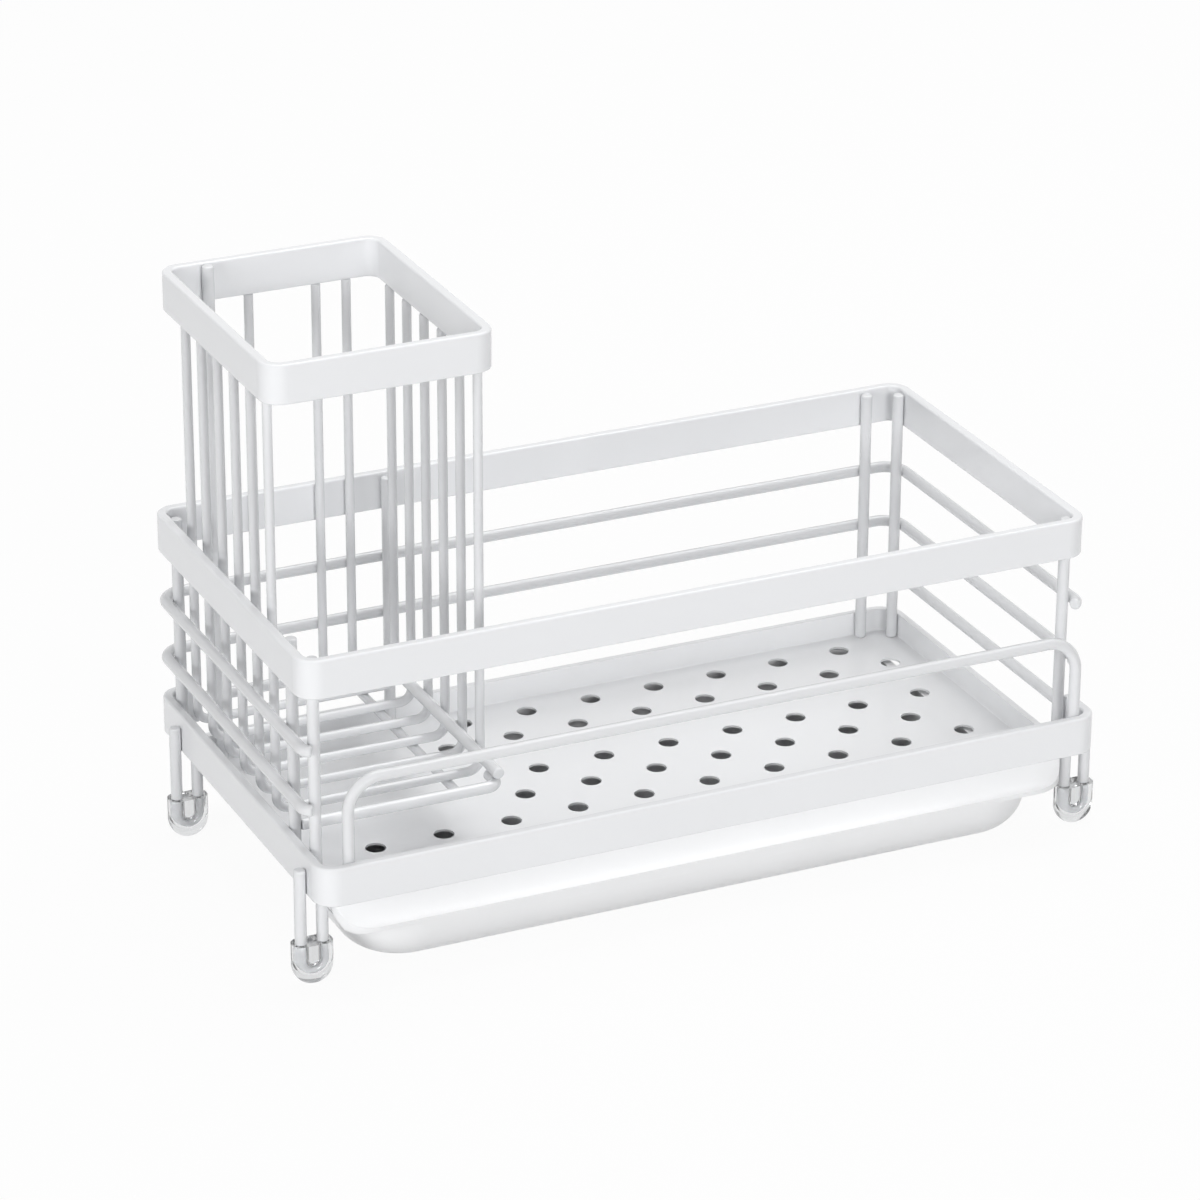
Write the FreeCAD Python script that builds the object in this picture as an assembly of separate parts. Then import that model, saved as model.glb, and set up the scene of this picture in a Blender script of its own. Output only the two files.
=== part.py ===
import FreeCAD, Part
import math
import os

# Kitchen sink caddy: a welded wire and flat-bar basket with a tall brush holder,
# a perforated drain pan, a pull-out drip tray and clear foot boots.
# Millimetres, +Z up, X along the long side, the front faces -Y. The origin is on
# the standing surface under the middle of the whole caddy.

V = FreeCAD.Vector
os.makedirs("parts", exist_ok=True)

# Stock: the flat bar and the wires that everything is bent from
bar_height = 12.0
bar_thickness = 3.0
bar_edge_round = 0.7
corner_radius = 6.5
post_diameter = 3.5
rail_diameter = 3.5
side_wire_diameter = 3.5
thin_wire_diameter = 2.8
base_bar_diameter = 3.5
foot_wire_diameter = 3.5
wire_end_round = 0.6
weld_gap = 0.05
overrun = 5.0

# Basket: the upper band is the rim, the lower band goes along the front and the left
basket_length = 250.0
upper_depth = 121.0
lower_step = 11.0
upper_top = 99.0
lower_top = 39.5
back_return = 12.0
right_return = 17.0

# Posts, measured from the outer faces of the bands
back_post_inset = 14.0
middle_post_inset = 73.5
tall_post_inset = 17.4
tall_post_drop = 0.3
side_post_inset = 8.5
left_front_post_inset = 20.0
post_top_drop = 1.0

# Side wires, heights of their centre lines
upper_wire_height = 71.0
middle_wire_height = 52.5
lower_wire_height = 34.7
side_wire_bend = 7.0
hook_turn = 60

# Dishcloth rail at the front
rail_height = 63.8
rail_bend = 10.0
rail_left_inset = 10.7
rail_foot_lift = 1.0

# Drain pan: perforated plate with an upturned wall and a flat rim
pan_top = 22.5
plate_top = 14.9
sheet = 0.7
pan_rim = 1.5
pan_left_rim = 4.9
pan_front_inset = 12.75
pan_corner_radius = 8.0
pan_outer_bend = 1.2
pan_inner_bend = 0.4
rim_edge_round = 0.3
hole_diameter = 6.2
hole_pitch = 21.7
row_pitch = 14.45
row_break = 9.15
back_rows_shift = 2.0
first_row_inset = 9.15
rows_before_break = 5
rows_after_break = 2
hole_edge_margin = 5.0
row_plain_lengths = (0.0, 0.0, 0.0, 68.0, 80.0, 68.0, 68.0)

# Drip tray: basin under the pan with a flange and a hollowed front lip
tray_clearance = 0.8
tray_wall = 1.3
flange_side_gap = 4.75
flange_corner_radius = 6.0
flange_back_gap = 2.0
basin_side_gap = 6.2
basin_front_step = 6.0
basin_back_gap = 3.5
basin_corner_radius = 20.0
basin_bottom_round = 12.0
basin_floor_gap = 0.5
lip_side_gap = 0.55
lip_corner_radius = 12.0
lip_gap = 1.7
lip_reach = 9.3
lip_crest = 1.5
lip_rise = 11.6
lip_under_rise = 3.0
lip_hollow = 1.6

# Feet: wire loops with clear boots
foot_leg_top = 35.8
foot_inner_leg_top = 30.5
foot_wall_leg_top = 20.0
foot_front_inset = 11.25
foot_back_inset = 19.75
foot_loop_lift = 2.2
boot_height = 12.5
boot_wall = 1.0
boot_depth = 6.4
boot_sole_flat = 0.4
boot_edge_round = 2.6
boot_clearance = 0.1

# Tall brush holder in the back left corner, above and inside the main rim
holder_length = 70.0
holder_depth = 88.0
holder_top = 175.5
holder_fit = 0.05
holder_floor = 34.0
holder_wire_count = 6
holder_wire_margin = 11.5
holder_right_wire_inset = 1.7
holder_wire_lap = 8.0
holder_wire_bend = 4.0
base_bar_height = 39.2
base_bar_bend = 4.0
base_bar_return = 8.0
side_bar_tail = 5.0
cross_wire_tail = 5.0
holder_back_wire_insets = (27.8, 48.9)
holder_cross_wire_inset = 58.5
back_wire_tail = 3.0

# Derived places
x_right = basket_length / 2
x_left = -x_right
y_back = upper_depth / 2
y_front_upper = -y_back
y_front_lower = y_front_upper - lower_step
upper_bottom = upper_top - bar_height
lower_bottom = lower_top - bar_height
post_radius = post_diameter / 2
wire_radius = side_wire_diameter / 2
thin_radius = thin_wire_diameter / 2
foot_radius = foot_wire_diameter / 2
inner_to_post = bar_thickness + weld_gap + post_radius
post_to_wire = post_radius + weld_gap + wire_radius
x_side_post = x_right - inner_to_post
y_back_post = y_back - inner_to_post
x_wire = x_side_post + post_to_wire
y_wire_back = y_back_post + post_to_wire
corner_post_share = math.sqrt(0.5)
corner_nest = (corner_radius - bar_thickness - post_radius - weld_gap) * corner_post_share
x_corner_post = x_right - corner_radius + corner_nest
y_corner_post = y_front_upper + corner_radius - corner_nest
y_rail = y_front_lower + bar_thickness + weld_gap + rail_diameter / 2
plate_bottom = plate_top - sheet
x_foot_outer = x_right + weld_gap + foot_radius
x_foot_inner = x_right - bar_thickness - weld_gap - foot_radius
x_boot_inner = x_foot_inner - foot_radius - boot_wall
pan_left = weld_gap + foot_radius - x_foot_inner
pan_right = x_side_post + post_radius + weld_gap + sheet + pan_rim
pan_back = y_back_post + post_radius + weld_gap + sheet + pan_rim
pan_front = y_front_lower + pan_front_inset
flange_top = plate_bottom - tray_clearance
flange_bottom = flange_top - tray_wall
lip_back = pan_front - lip_gap
lip_front = lip_back - lip_reach
tray_back = pan_back - flange_back_gap
flange_half_length = x_boot_inner - flange_side_gap
basin_half_length = x_boot_inner - basin_side_gap
lip_half_length = x_foot_inner - foot_radius - lip_side_gap
lip_under = flange_top + lip_under_rise
basin_front = lip_back - basin_front_step
rail_foot_height = lower_bottom + rail_foot_lift
y_middle = (y_wire_back + wire_radius + y_front_lower) / 2


def rounded_outline(x0, x1, y0, y1, z, radius):
    """Closed rounded rectangle in a level plane."""
    turn = radius * (1 - math.sqrt(0.5))
    corners = (
        (V(x1 - radius, y0, z), V(x1 - turn, y0 + turn, z), V(x1, y0 + radius, z)),
        (V(x1, y1 - radius, z), V(x1 - turn, y1 - turn, z), V(x1 - radius, y1, z)),
        (V(x0 + radius, y1, z), V(x0 + turn, y1 - turn, z), V(x0, y1 - radius, z)),
        (V(x0, y0 + radius, z), V(x0 + turn, y0 + turn, z), V(x0 + radius, y0, z)),
    )
    edges = []
    start = corners[-1][2]
    for first, middle, last in corners:
        edges.append(Part.LineSegment(start, first).toShape())
        edges.append(Part.Arc(first, middle, last).toShape())
        start = last
    return Part.Wire(edges)


def rounded_prism(x0, x1, y0, y1, z0, z1, radius):
    """Upright block with rounded vertical edges."""
    face = Part.Face(rounded_outline(x0, x1, y0, y1, z0, radius))
    return face.extrude(V(0, 0, z1 - z0))


def level_edges(shape, z):
    """Edges that lie wholly at one height."""
    found = []
    for edge in shape.Edges:
        box = edge.BoundBox
        if abs(box.ZMin - z) < weld_gap and abs(box.ZMax - z) < weld_gap:
            found.append(edge)
    return found


def flat_bar_ring(x0, x1, y0, y1, z0, z1):
    """Flat bar bent to a rounded rectangle, with eased edges."""
    outer = rounded_prism(x0, x1, y0, y1, z0, z1, corner_radius)
    t = bar_thickness
    inner = rounded_prism(x0 + t, x1 - t, y0 + t, y1 - t, z0 - overrun, z1 + overrun, corner_radius - t)
    ring = outer.cut(inner)
    return ring.makeFillet(bar_edge_round, level_edges(ring, z0) + level_edges(ring, z1))


def eased_ends(solid, diameter):
    """Rounds the rims of a wire's two cut ends."""
    rims = []
    for face in solid.Faces:
        if face.Surface.TypeId == "Part::GeomPlane":
            rims.extend(face.OuterWire.Edges)
    limit = min(wire_end_round, diameter / 4)
    return solid.makeFillet(limit, rims)


def upright(x, y, z0, z1, diameter):
    """Straight standing wire."""
    rod = Part.makeCylinder(diameter / 2, z1 - z0, V(x, y, z0))
    return eased_ends(rod, diameter)


def bent_path(points, radius):
    """Straight runs joined by tangent arcs of one radius."""
    edges = []
    start = points[0]
    for before, corner, after in zip(points, points[1:], points[2:]):
        into = (corner - before).normalize()
        out = (after - corner).normalize()
        half_turn = into.getAngle(out) / 2
        setback = radius * math.tan(half_turn)
        first = corner - into * setback
        last = corner + out * setback
        inward = (out - into).normalize()
        middle = corner + inward * (radius / math.cos(half_turn) - radius)
        edges.append(Part.LineSegment(start, first).toShape())
        edges.append(Part.Arc(first, middle, last).toShape())
        start = last
    edges.append(Part.LineSegment(start, points[-1]).toShape())
    return Part.Wire(edges)


def swept_wire(path, diameter, start, direction):
    """Round wire along a path."""
    profile = Part.Wire(Part.makeCircle(diameter / 2, start, direction))
    return path.makePipeShell([profile], True, False)


def bent_wire(points, radius, diameter):
    """Bent wire with eased ends."""
    solid = swept_wire(bent_path(points, radius), diameter, points[0], points[1] - points[0])
    return eased_ends(solid, diameter)


def top_rim_band():
    return flat_bar_ring(x_left, x_right, y_front_upper, y_back, upper_bottom, upper_top)


def lower_band():
    """Flat bar along the front and the left, with a short return at each end."""
    ring = flat_bar_ring(x_left, x_right, y_front_lower, y_back, lower_bottom, lower_top)
    x_cut = x_left + back_return
    y_cut = y_front_lower + right_return
    opening = Part.makeBox(
        x_right - x_cut + overrun, y_back - y_cut + overrun, bar_height + 2 * overrun,
        V(x_cut, y_cut, lower_bottom - overrun))
    return ring.cut(opening)


def posts():
    """The upright wires of the basket: name, place and lower end."""
    y_side_back = y_back - side_post_inset
    y_side_front = y_front_upper + left_front_post_inset
    places = {
        "back_right_post": (x_right - back_post_inset, y_back_post, plate_top),
        "back_middle_post": (x_left + middle_post_inset, y_back_post, plate_top),
        "right_side_post": (x_side_post, y_side_back, plate_top),
        "left_back_post": (-x_side_post, y_side_back, lower_bottom),
        "left_front_post": (-x_side_post, y_side_front, lower_bottom),
        "front_left_post": (-x_corner_post, y_corner_post, lower_bottom),
        "front_right_post": (x_corner_post, y_corner_post, pan_top),
    }
    top = upper_top - post_top_drop
    made = {}
    for name, (x, y, foot) in places.items():
        made[name] = upright(x, y, foot, top, post_diameter)
    return made


def side_wires():
    """Wires round the left, back and right, and the lower one on the back and right."""
    made = {}
    for name, z in (("upper_side_wire", upper_wire_height), ("middle_side_wire", middle_wire_height)):
        made[name] = hooked_wire(z)
    z = lower_wire_height
    ends = (
        V(x_left + back_return + weld_gap, y_wire_back, z), V(x_wire, y_wire_back, z),
        V(x_wire, y_front_lower + right_return + weld_gap, z))
    made["lower_back_wire"] = bent_wire(ends, side_wire_bend, side_wire_diameter)
    return made


def hook_point(side, angle, z):
    """Point on the hook round a front corner post; the angle starts at the side run."""
    reach = x_wire - x_corner_post
    turn = math.radians(angle)
    return V(side * (x_corner_post + reach * math.cos(turn)), y_corner_post - reach * math.sin(turn), z)


def hooked_wire(z):
    """Side wire whose ends hook round the front corner posts."""
    left = [hook_point(-1, angle, z) for angle in (hook_turn, hook_turn / 2, 0)]
    right = [hook_point(1, angle, z) for angle in (0, hook_turn / 2, hook_turn)]
    run = bent_path(
        (left[-1], V(-x_wire, y_wire_back, z), V(x_wire, y_wire_back, z), right[0]), side_wire_bend)
    path = Part.Wire([Part.Arc(*left).toShape()] + run.Edges + [Part.Arc(*right).toShape()])
    turn = math.radians(hook_turn)
    solid = swept_wire(path, side_wire_diameter, left[0], V(-math.sin(turn), math.cos(turn), 0))
    return eased_ends(solid, side_wire_diameter)


def front_rail():
    """Dishcloth rail: one wire whose legs stand inside the lower band."""
    x0 = x_left + rail_left_inset
    x1 = x_right - corner_radius
    points = (
        V(x0, y_rail, rail_foot_height), V(x0, y_rail, rail_height),
        V(x1, y_rail, rail_height), V(x1, y_rail, rail_foot_height))
    return bent_wire(points, rail_bend, rail_diameter)


def hole_rows():
    """Depth of each row of holes and the place of one hole in it; rows alternate by half a pitch."""
    y = pan_front + pan_rim + sheet + first_row_inset
    rows = []
    for index in range(rows_before_break + rows_after_break):
        if index == rows_before_break:
            y += row_break
        behind = index >= rows_before_break
        shifted = index % 2 == 0 if behind else index % 2 == 1
        start = hole_pitch / 2 if shifted else 0
        rows.append((y, start + back_rows_shift if behind else start))
        y += row_pitch
    return rows


def pan_block(side_inset, left_inset, z0, z1, radius):
    """Upright block with the pan's outline drawn in from the rim."""
    return rounded_prism(
        pan_left + left_inset, pan_right - side_inset, pan_front + side_inset, pan_back - side_inset,
        z0, z1, radius)


def drain_pan():
    """Pressed pan: upturned wall, flat rim, and a floor with holes, plain under the holder."""
    rim = pan_block(0, 0, pan_top - sheet, pan_top, pan_corner_radius)
    rim = rim.makeFillet(rim_edge_round, level_edges(rim, pan_top))
    outer = pan_block(pan_rim, pan_left_rim, plate_bottom, pan_top - sheet, pan_corner_radius - pan_rim)
    outer = outer.makeFillet(pan_outer_bend, level_edges(outer, plate_bottom))
    inset = pan_rim + sheet
    left = pan_left_rim + sheet
    inner = pan_block(inset, left, plate_top, pan_top + overrun, pan_corner_radius - inset)
    inner = inner.makeFillet(pan_inner_bend, level_edges(inner, plate_top))
    reach = hole_diameter / 2 + hole_edge_margin
    x_low = pan_left + left + reach
    x_high = pan_right - inset - reach
    holes = []
    for (y, start), plain in zip(hole_rows(), row_plain_lengths):
        first = math.ceil((max(x_low, pan_left + plain) - start) / hole_pitch)
        last = math.floor((x_high - start) / hole_pitch)
        for step in range(first, last + 1):
            x = start + step * hole_pitch
            holes.append(Part.makeCylinder(
                hole_diameter / 2, sheet + 2 * overrun, V(x, y, plate_bottom - overrun)))
    return rim.fuse(outer).cut(inner).cut(Part.makeCompound(holes)).removeSplitter()


def basin(inset, z_low, z_high):
    """Tray basin block, drawn in by an inset on the sides."""
    back = pan_back - basin_back_gap - inset
    half = basin_half_length - inset
    block = rounded_prism(
        -half, half, basin_front + inset, back, z_low, z_high, basin_corner_radius - inset)
    return block.makeFillet(basin_bottom_round - inset, level_edges(block, z_low))


def tray_lip():
    """Front lip: hollowed face from a low front edge to a narrow crest, with rounded ends."""
    crest = flange_top + lip_rise
    basin_inner = basin_front + tray_wall
    edge = V(-lip_half_length, lip_front, lip_under + tray_wall)
    top = V(-lip_half_length, lip_back - lip_crest, crest)
    chord = top - edge
    inward = V(0, chord.z, -chord.y).normalize()
    middle = (edge + top) * 0.5 + inward * lip_hollow
    corners = (
        top, V(-lip_half_length, lip_back, crest),
        V(-lip_half_length, lip_back, lip_under + lip_back - basin_inner),
        V(-lip_half_length, basin_inner, lip_under), V(-lip_half_length, lip_front, lip_under), edge)
    outline = Part.Wire(Part.makePolygon(corners).Edges + [Part.Arc(edge, middle, top).toShape()])
    bar = Part.Face(outline).extrude(V(2 * lip_half_length, 0, 0))
    plan = rounded_prism(
        -lip_half_length, lip_half_length, lip_front, tray_back, lip_under, crest, lip_corner_radius)
    return bar.common(plan)


def drip_tray():
    """Moulded tray: flange under the pan, basin below it, lip in front of the pan."""
    flange = rounded_prism(
        -flange_half_length, flange_half_length, lip_back - lip_crest, tray_back,
        flange_bottom, flange_top, flange_corner_radius)
    under_pan = Part.makeBox(
        2 * x_right, tray_back - lip_back, lip_under, V(-x_right, lip_back, flange_top))
    outer = basin(0, basin_floor_gap, lip_under).cut(under_pan)
    inner = basin(tray_wall, basin_floor_gap + tray_wall, lip_under)
    return flange.fuse(outer).cut(inner).fuse(tray_lip()).removeSplitter()


def foot_path(outer, inner, outer_top, inner_top):
    """Path of a foot loop: down the outer leg, round and up the inner leg."""
    turn = outer.distanceToPoint(inner) / 2
    lift = V(0, 0, foot_loop_lift + foot_radius + turn)
    low = (outer + inner) * 0.5 + lift - V(0, 0, turn)
    return Part.Wire([
        Part.LineSegment(outer + V(0, 0, outer_top), outer + lift).toShape(),
        Part.Arc(outer + lift, low, inner + lift).toShape(),
        Part.LineSegment(inner + lift, inner + V(0, 0, inner_top)).toShape()])


def foot(outer, inner, outer_top, inner_top):
    """Loop and boot of one foot; outer and inner are the places of its legs."""
    path = foot_path(outer, inner, outer_top, inner_top)
    start = outer + V(0, 0, outer_top)
    down = V(0, 0, -1)
    loop = swept_wire(path, foot_wire_diameter, start, down)
    pocket = swept_wire(path, foot_wire_diameter + 2 * boot_clearance, start, down)
    boot = foot_boot(outer.distanceToPoint(inner) / 2)
    along = math.degrees(math.atan2(inner.y - outer.y, inner.x - outer.x))
    boot.rotate(V(0, 0, 0), V(0, 0, 1), along)
    boot.translate((outer + inner) * 0.5)
    return eased_ends(loop, foot_wire_diameter), boot.cut(pocket)


def foot_boot(half_spacing):
    """Clear boot: flat top, round bottom with a small flat sole."""
    half = half_spacing + foot_radius + boot_wall
    z = half - boot_sole_flat
    y0 = -boot_depth / 2
    outline = Part.Wire([
        Part.LineSegment(V(half, y0, z), V(half, y0, boot_height)).toShape(),
        Part.LineSegment(V(half, y0, boot_height), V(-half, y0, boot_height)).toShape(),
        Part.LineSegment(V(-half, y0, boot_height), V(-half, y0, z)).toShape(),
        Part.Arc(V(-half, y0, z), V(0, y0, z - half), V(half, y0, z)).toShape()])
    block = Part.Face(outline).extrude(V(0, boot_depth, 0))
    rims = [
        edge for edge in block.Edges
        if edge.BoundBox.YLength < weld_gap and edge.BoundBox.ZMin < boot_height - weld_gap]
    block = block.makeFillet(boot_edge_round, rims)
    below = Part.makeBox(2 * half, boot_depth, overrun, V(-half, y0, -overrun))
    return block.cut(below)


def feet():
    """Three feet straddle the lower band; the back right one stands against the pan's wall."""
    x_outer = x_foot_outer
    x_inner = x_foot_inner
    y_front = y_front_lower + foot_front_inset
    y_rear = y_back - foot_back_inset
    x_rear = pan_right - pan_rim + weld_gap + foot_radius
    y_rear_front = y_rear - (x_outer - x_inner)
    places = {
        "front_left": (V(-x_outer, y_front, 0), V(-x_inner, y_front, 0)),
        "front_right": (V(x_outer, y_front, 0), V(x_inner, y_front, 0)),
        "back_left": (V(-x_outer, y_rear, 0), V(-x_inner, y_rear, 0)),
        "back_right": (V(x_rear, y_rear, 0), V(x_rear, y_rear_front, 0)),
    }
    tops = {name: (foot_leg_top, foot_inner_leg_top) for name in places}
    tops["back_right"] = (foot_wall_leg_top, foot_wall_leg_top)
    made = {}
    for name, (outer, inner) in places.items():
        loop, boot = foot(outer, inner, *tops[name])
        made[f"foot_loop_{name}"] = loop
        made[f"foot_boot_{name}"] = boot
    return made


def holder():
    """Tall holder: rim band, side wires, base bar, side bar, cross wire, back wires and tall post."""
    made = {}
    x0 = x_left + bar_thickness + holder_fit
    x1 = x0 + holder_length
    y1 = y_back - bar_thickness - holder_fit
    y0 = y1 - holder_depth
    band_low = holder_top - bar_height
    made["holder_rim_band"] = flat_bar_ring(x0, x1, y0, y1, band_low, holder_top)

    wire_top = band_low - weld_gap
    x_low = x0 + bar_thickness + weld_gap + thin_radius
    x_high = x1 - holder_right_wire_inset
    pitch = (holder_depth - 2 * holder_wire_margin) / (holder_wire_count - 1)
    for step in range(holder_wire_count):
        y = y1 - holder_wire_margin - step * pitch
        points = (
            V(x_low, y, wire_top + holder_wire_lap), V(x_low, y, holder_floor),
            V(x_high, y, holder_floor), V(x_high, y, wire_top))
        made[f"holder_side_wire_{step + 1}"] = bent_wire(points, holder_wire_bend, thin_wire_diameter)

    bar_radius = base_bar_diameter / 2
    x_bar = x_high - thin_radius - weld_gap - bar_radius
    y_bar = y_front_upper + left_front_post_inset
    z = base_bar_height
    points = (
        V(post_radius + weld_gap - x_side_post, y_bar, z), V(x_bar, y_bar, z),
        V(x_bar, y_bar + base_bar_return, z))
    made["holder_base_bar"] = bent_wire(points, base_bar_bend, base_bar_diameter)
    rod = Part.makeCylinder(
        bar_radius, y1 - holder_wire_margin + side_bar_tail - y_bar,
        V(x_bar, y_bar, z + base_bar_diameter + weld_gap), V(0, 1, 0))
    made["holder_side_bar"] = eased_ends(rod, base_bar_diameter)

    y_wire = y1 - bar_thickness / 2
    for number, inset in enumerate(holder_back_wire_insets, 1):
        made[f"holder_back_wire_{number}"] = upright(
            x0 + inset, y_wire, lower_wire_height - back_wire_tail, wire_top, thin_wire_diameter)
    x = x0 + holder_cross_wire_inset
    z_under = holder_floor - thin_wire_diameter - weld_gap
    y_last = y0 + holder_wire_margin - cross_wire_tail
    points = (V(x, y_wire, wire_top), V(x, y_wire, z_under), V(x, y_last, z_under))
    made["holder_cross_wire"] = bent_wire(points, holder_wire_bend, thin_wire_diameter)

    y_tall = y1 - inner_to_post
    made["tall_back_post"] = upright(
        x_left + tall_post_inset, y_tall, plate_top, holder_top - tall_post_drop, post_diameter)
    return made


def main():
    nodes = {
        "top_rim_band": top_rim_band(),
        "lower_band": lower_band(),
        "front_rail": front_rail(),
        "drain_pan": drain_pan(),
        "drip_tray": drip_tray(),
    }
    nodes.update(posts())
    nodes.update(side_wires())
    nodes.update(feet())
    nodes.update(holder())
    for name, shape in nodes.items():
        shape.translate(V(0, -y_middle, 0))
        solids = len(shape.Solids)
        print(f"{name:24s} valid={shape.isValid()} solids={solids} volume={shape.Volume:.0f}")
        shape.exportStep(f"parts/{name}.step")


main()
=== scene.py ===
import math

import bpy
from mathutils import Matrix, Vector


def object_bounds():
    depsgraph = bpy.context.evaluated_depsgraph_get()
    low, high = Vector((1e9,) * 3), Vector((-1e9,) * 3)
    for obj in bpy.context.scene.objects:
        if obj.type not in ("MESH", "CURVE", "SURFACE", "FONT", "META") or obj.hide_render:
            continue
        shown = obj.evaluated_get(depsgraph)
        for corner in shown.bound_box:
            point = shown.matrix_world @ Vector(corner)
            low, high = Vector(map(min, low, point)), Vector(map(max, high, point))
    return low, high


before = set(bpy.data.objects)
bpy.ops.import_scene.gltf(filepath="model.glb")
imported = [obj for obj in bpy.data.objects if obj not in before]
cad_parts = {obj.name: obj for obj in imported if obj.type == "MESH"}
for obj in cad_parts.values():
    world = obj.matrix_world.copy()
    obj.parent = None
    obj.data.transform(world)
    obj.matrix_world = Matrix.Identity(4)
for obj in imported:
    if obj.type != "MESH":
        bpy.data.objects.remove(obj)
cad_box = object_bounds()

# Kitchen sink caddy: looks, light and camera around the welded wire and flat-bar frame.
# Metres, +Z up, X along the long side, the front faces -Y.

# Camera, from the photograph's viewing angle; lens and sensor in millimetres
CAMERA_PLACE = Vector((-0.57326, -1.22530, 0.68093))
CAMERA_TURN = math.radians(-24.735)
CAMERA_DIP = math.radians(24.202)
CAMERA_ROLL = math.radians(0.24)
CAMERA_LENS = 150.0
CAMERA_SENSOR = 36.0

# Light: soft boxes around the caddy; turn is from the front, rise from level, in degrees.
# The two low ones have no glint, since the pan's floor would mirror them in low views.
SOFT_BOXES = {
    "left": {
        "turn": -70.0, "rise": 14.0, "reach": 2.6,
        "size": (1.4, 0.9), "power": 33.0, "glint": False},
    "front": {
        "turn": -2.0, "rise": 17.0, "reach": 2.6,
        "size": (1.1, 0.9), "power": 34.0, "glint": False},
    "right": {
        "turn": 95.0, "rise": 35.0, "reach": 1.8,
        "size": (0.9, 1.2), "power": 2.5, "glint": True},
    "back": {
        "turn": 140.0, "rise": 70.0, "reach": 1.6,
        "size": (1.6, 1.2), "power": 23.5, "glint": True},
}

# Surroundings: their strength as light and as what is seen, where 1 is white
WORLD_COLOUR = (1.0, 1.0, 1.0, 1.0)
WORLD_LEVEL = 0.05
SEEN_LEVEL = 1.0

# Floor: half its side, its own colour, and the share of white mixed in where it is seen
FLOOR_REACH = 6.0
FLOOR_CORNERS = ((-1, -1), (1, -1), (1, 1), (-1, 1))
FLOOR_COLOUR = (0.70, 0.70, 0.70, 1.0)
FLOOR_ROUGHNESS = 0.9
FLOOR_GLOW = 0.95

# Shades: each coat and the tray's plastic drift between a deep and a pale one, at random. The
# three coats are one white powder coat: the pan's copy is painted lighter as painted light,
# the wires' copy darker as painted shade.
COAT_SHADES = ((0.788, 0.795, 0.810, 1.0), (0.800, 0.807, 0.822, 1.0))
# Painted light: the pan's coat is set lighter than the same coat on the bands, to brighten the
# pan's floor
PAN_SHADES_PAINTED_LIGHTER = ((0.848, 0.854, 0.866, 1.0), (0.860, 0.866, 0.878, 1.0))
# Painted shade: the wires' coat is set darker than the same coat on the bands, standing in for
# shade on the wires
WIRE_SHADES_PAINTED_DARKER = ((0.702, 0.709, 0.723, 1.0), (0.716, 0.723, 0.737, 1.0))
TRAY_SHADES = ((0.810, 0.814, 0.822, 1.0), (0.822, 0.826, 0.834, 1.0))

# Grains: the scale of a noise, about one over a grain's size in metres, and its detail
COAT_SHADE_GRAIN = (14.0, 1.0)
TRAY_SHADE_GRAIN = (24.0, 2.0)

# The part of a noise's range over which the shade and the gloss go from one end to the other
SHADE_SPAN = (0.30, 0.70)
GLOSS_SPAN = (0.25, 0.75)

# Finishes: roughness from low to high along the gloss grain, and a bump along the relief grain
COAT_FINISH = {
    "gloss_grain": (60.0, 1.0), "roughness": (0.19, 0.21),
    "relief_grain": (420.0, 0.0), "strength": 0.03, "height": 0.0002, "ior": 1.50}
TRAY_FINISH = {
    "gloss_grain": (80.0, 1.0), "roughness": (0.29, 0.31),
    "relief_grain": (600.0, 0.0), "strength": 0.04, "height": 0.0001, "ior": 1.49}
BOOT_FINISH = {
    "gloss_grain": (300.0, 2.0), "roughness": (0.04, 0.12),
    "relief_grain": (420.0, 1.0), "strength": 0.07, "height": 0.0002, "ior": 1.46}

# Reflection of the flat bar and pan, and of the wires, which show brighter edges
BAND_SHINE = 0.50
WIRE_SHINE = 0.80

# Light that passes into the tray's plastic and through the boots
TRAY_SUBSURFACE = 0.12
TRAY_SUBSURFACE_RADIUS = (0.004, 0.004, 0.004)
TRAY_SUBSURFACE_SCALE = 1.0
BOOT_TRANSMISSION = 1.0
BOOT_CLEAR = (0.950, 0.955, 0.960, 1.0)
BOOT_DEEP = (0.500, 0.508, 0.516, 1.0)
BOOT_DENSITY = 80.0


def new_material(name):
    """A node material, its Principled shader and an object-space position."""
    material = bpy.data.materials.new(name)
    material.use_nodes = True
    shader = material.node_tree.nodes["Principled BSDF"]
    place = material.node_tree.nodes.new("ShaderNodeTexCoord")
    return material, shader, place.outputs["Object"]


def noise(material, place, grain):
    """A noise pattern in object space."""
    node = material.node_tree.nodes.new("ShaderNodeTexNoise")
    node.inputs["Scale"].default_value, node.inputs["Detail"].default_value = grain
    material.node_tree.links.new(place, node.inputs["Vector"])
    return node.outputs["Fac"]


def mottled_colour(material, shader, pattern, shades):
    """The base colour drifts between two near shades along the pattern."""
    ramp = material.node_tree.nodes.new("ShaderNodeValToRGB")
    for element, position, shade in zip(ramp.color_ramp.elements, SHADE_SPAN, shades):
        element.position = position
        element.color = shade
    material.node_tree.links.new(pattern, ramp.inputs["Fac"])
    material.node_tree.links.new(ramp.outputs["Color"], shader.inputs["Base Color"])


def uneven_roughness(material, shader, pattern, roughness):
    """The gloss varies between two values along the pattern."""
    span = material.node_tree.nodes.new("ShaderNodeMapRange")
    span.inputs["From Min"].default_value, span.inputs["From Max"].default_value = GLOSS_SPAN
    span.inputs["To Min"].default_value, span.inputs["To Max"].default_value = roughness
    material.node_tree.links.new(pattern, span.inputs["Value"])
    material.node_tree.links.new(span.outputs["Result"], shader.inputs["Roughness"])


def fine_relief(material, shader, pattern, strength, height):
    """A shallow bump along the pattern."""
    bump = material.node_tree.nodes.new("ShaderNodeBump")
    bump.inputs["Strength"].default_value = strength
    bump.inputs["Distance"].default_value = height
    material.node_tree.links.new(pattern, bump.inputs["Height"])
    material.node_tree.links.new(bump.outputs["Normal"], shader.inputs["Normal"])


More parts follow.
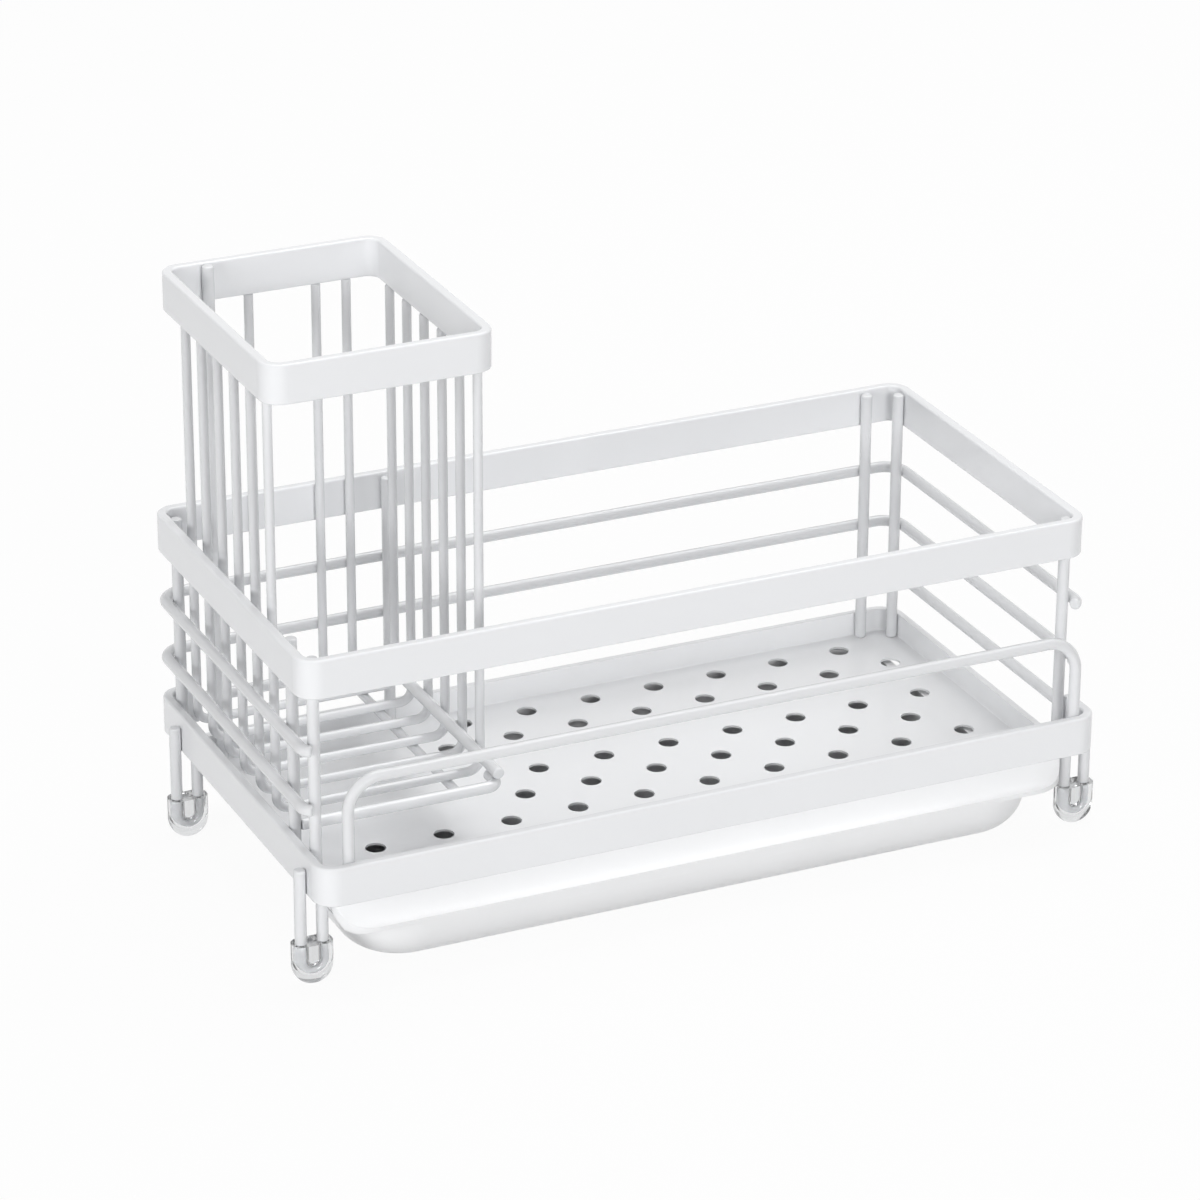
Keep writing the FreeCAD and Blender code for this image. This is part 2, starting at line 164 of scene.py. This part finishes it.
def surface(material, shader, place, finish):
    """Gives a material the gloss and relief of a finish."""
    gloss = noise(material, place, finish["gloss_grain"])
    relief = noise(material, place, finish["relief_grain"])
    uneven_roughness(material, shader, gloss, finish["roughness"])
    fine_relief(material, shader, relief, finish["strength"], finish["height"])
    shader.inputs["IOR"].default_value = finish["ior"]


def powder_coat(name, shades, shine):
    """Satin white powder coat: a faint orange peel and slightly uneven gloss."""
    material, shader, place = new_material(name)
    mottled_colour(material, shader, noise(material, place, COAT_SHADE_GRAIN), shades)
    surface(material, shader, place, COAT_FINISH)
    shader.inputs["Specular IOR Level"].default_value = shine
    return material


def tray_plastic():
    """Smooth white moulded plastic, a little translucent."""
    material, shader, place = new_material("tray_plastic")
    mottled_colour(material, shader, noise(material, place, TRAY_SHADE_GRAIN), TRAY_SHADES)
    surface(material, shader, place, TRAY_FINISH)
    shader.inputs["Subsurface Weight"].default_value = TRAY_SUBSURFACE
    shader.inputs["Subsurface Radius"].default_value = TRAY_SUBSURFACE_RADIUS
    shader.inputs["Subsurface Scale"].default_value = TRAY_SUBSURFACE_SCALE
    return material


def clear_boot():
    """Clear soft plastic with a faintly wavy moulded surface, deeper where it is thick."""
    material, shader, place = new_material("clear_boot")
    shader.inputs["Base Color"].default_value = BOOT_CLEAR
    shader.inputs["Transmission Weight"].default_value = BOOT_TRANSMISSION
    surface(material, shader, place, BOOT_FINISH)
    depth = material.node_tree.nodes.new("ShaderNodeVolumeAbsorption")
    depth.inputs["Color"].default_value = BOOT_DEEP
    depth.inputs["Density"].default_value = BOOT_DENSITY
    output = material.node_tree.nodes["Material Output"]
    material.node_tree.links.new(depth.outputs["Volume"], output.inputs["Volume"])
    return material


def dress(node, material):
    """Gives a node of the frame its material."""
    slots = node.data.materials
    slots.clear()
    slots.append(material)


def seen_ray(tree):
    """1 for rays that are seen: from the camera, in a reflection or through a clear piece."""
    path = tree.nodes.new("ShaderNodeLightPath")
    total = path.outputs["Is Camera Ray"]
    for kind in ("Is Glossy Ray", "Is Transmission Ray"):
        either = tree.nodes.new("ShaderNodeMath")
        either.operation = "MAXIMUM"
        tree.links.new(total, either.inputs[0])
        tree.links.new(path.outputs[kind], either.inputs[1])
        total = either.outputs["Value"]
    return total


def floor_material():
    """Pale floor that keeps soft shadows and reads as white in the picture."""
    material = bpy.data.materials.new("pale_floor")
    material.use_nodes = True
    nodes = material.node_tree.nodes
    links = material.node_tree.links
    shader = nodes["Principled BSDF"]
    shader.inputs["Base Color"].default_value = FLOOR_COLOUR
    shader.inputs["Roughness"].default_value = FLOOR_ROUGHNESS
    glow = nodes.new("ShaderNodeEmission")
    glow.inputs["Strength"].default_value = SEEN_LEVEL
    share = nodes.new("ShaderNodeMath")
    share.operation = "MULTIPLY"
    share.inputs[1].default_value = FLOOR_GLOW
    links.new(seen_ray(material.node_tree), share.inputs[0])
    mix = nodes.new("ShaderNodeMixShader")
    links.new(share.outputs["Value"], mix.inputs["Fac"])
    links.new(shader.outputs["BSDF"], mix.inputs[1])
    links.new(glow.outputs["Emission"], mix.inputs[2])
    links.new(mix.outputs["Shader"], nodes["Material Output"].inputs["Surface"])
    return material


def floor():
    """A plain square floor under the caddy."""
    mesh = bpy.data.meshes.new("floor")
    corners = [(x * FLOOR_REACH, y * FLOOR_REACH, 0.0) for x, y in FLOOR_CORNERS]
    mesh.from_pydata(corners, [], [range(len(corners))])
    plane = bpy.data.objects.new("floor", mesh)
    bpy.context.scene.collection.objects.link(plane)
    mesh.materials.append(floor_material())


def world_light():
    """Even white surroundings, weaker as light than as what is seen."""
    world = bpy.data.worlds.new("studio")
    bpy.context.scene.world = world
    world.use_nodes = True
    nodes = world.node_tree.nodes
    links = world.node_tree.links
    background = nodes["Background"]
    background.inputs["Color"].default_value = WORLD_COLOUR
    level = nodes.new("ShaderNodeMapRange")
    level.inputs["To Min"].default_value = WORLD_LEVEL
    level.inputs["To Max"].default_value = SEEN_LEVEL
    links.new(seen_ray(world.node_tree), level.inputs["Value"])
    links.new(level.outputs["Result"], background.inputs["Strength"])


def soft_box(name, turn, rise, reach, size, power, glint):
    """A rectangular lamp aimed at the middle of the caddy."""
    lamp = bpy.data.lights.new(name, "AREA")
    lamp.shape = "RECTANGLE"
    lamp.size, lamp.size_y = size
    lamp.energy = power
    box = bpy.data.objects.new(name, lamp)
    bpy.context.scene.collection.objects.link(box)
    aim = (cad_box[0] + cad_box[1]) / 2
    turn, rise = math.radians(turn), math.radians(rise)
    outward = Vector((
        math.sin(turn) * math.cos(rise), -math.cos(turn) * math.cos(rise), math.sin(rise)))
    box.location = aim + outward * reach
    box.rotation_mode = "QUATERNION"
    box.rotation_quaternion = (-outward).to_track_quat("-Z", "Y")
    box.visible_glossy = glint


def camera():
    """The photograph's camera."""
    lens = bpy.data.cameras.new("camera")
    lens.lens = CAMERA_LENS
    lens.sensor_width = CAMERA_SENSOR
    body = bpy.data.objects.new("camera", lens)
    bpy.context.scene.collection.objects.link(body)
    turn = Matrix.Rotation(CAMERA_TURN, 4, "Z")
    dip = Matrix.Rotation(math.pi / 2 - CAMERA_DIP, 4, "X")
    roll = Matrix.Rotation(CAMERA_ROLL, 4, "Z")
    body.matrix_world = Matrix.Translation(CAMERA_PLACE) @ turn @ dip @ roll
    bpy.context.scene.camera = body


coat = powder_coat("white_coat", COAT_SHADES, BAND_SHINE)
# The pan's copy of the coat, painted lighter as painted light on its floor
pan_coat_painted_lighter = powder_coat("pan_coat_painted_lighter", PAN_SHADES_PAINTED_LIGHTER, BAND_SHINE)
# The wires' copy of the coat, painted darker as painted shade on the wires
wire_coat_painted_darker = powder_coat("wire_coat_painted_darker", WIRE_SHADES_PAINTED_DARKER, WIRE_SHINE)
plastic = tray_plastic()
clear = clear_boot()
for name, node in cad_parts.items():
    if name == "drip_tray":
        dress(node, plastic)
    elif name.startswith("foot_boot_"):
        dress(node, clear)
    elif name == "drain_pan":
        dress(node, pan_coat_painted_lighter)
    elif name.endswith("_band"):
        dress(node, coat)
    else:
        dress(node, wire_coat_painted_darker)

floor()
world_light()
for name, box in SOFT_BOXES.items():
    soft_box(name, **box)
camera()
bpy.context.scene.view_settings.view_transform = "Standard"
